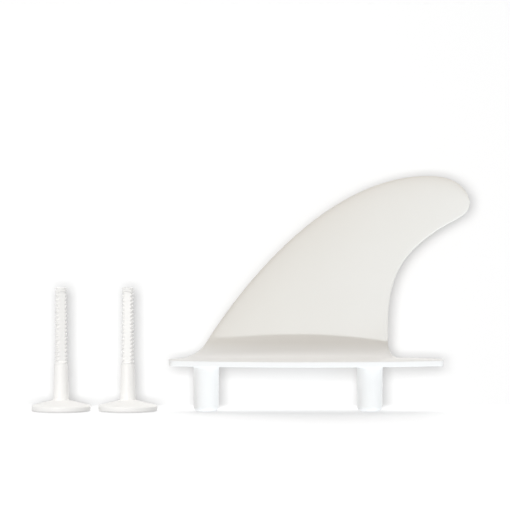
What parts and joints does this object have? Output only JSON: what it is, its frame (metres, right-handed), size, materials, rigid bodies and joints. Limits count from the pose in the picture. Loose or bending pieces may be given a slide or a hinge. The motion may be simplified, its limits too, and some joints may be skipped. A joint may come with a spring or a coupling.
{
  "type": "surfboard fin set",
  "caption": "Raked soft-top surfboard fin with a lens-shaped base plate and round threaded posts, with its wide-headed plastic deck screws standing beside it.",
  "frame": {"origin": "on the underside of the fin's base plate, midway between its two posts", "axes": "+X towards the fin's trailing edge and tip, +Y across the board, +Z from the base plate up along the blade"},
  "size_m": [0.2208, 0.03, 0.1184],
  "materials": {
    "fin_plastic": "warm white moulded plastic, fine satin texture",
    "screw_plastic": "white moulded plastic, smooth satin"
  },
  "bodies": {
    "fin_body": {"fin": "fin_plastic"},
    "screw_1_body": {"deck_screw_1": "screw_plastic"},
    "screw_2_body": {"deck_screw_2": "screw_plastic"}
  },
  "joints": [
    {"name": "screw_1_travel", "type": "slide", "parent": "fin_body", "child": "screw_1_body", "axis": [0, 0, 1], "range_m": [0, 0.02]},
    {"name": "screw_2_travel", "type": "slide", "parent": "fin_body", "child": "screw_2_body", "axis": [0, 0, 1], "range_m": [0, 0.02]}
  ]
}
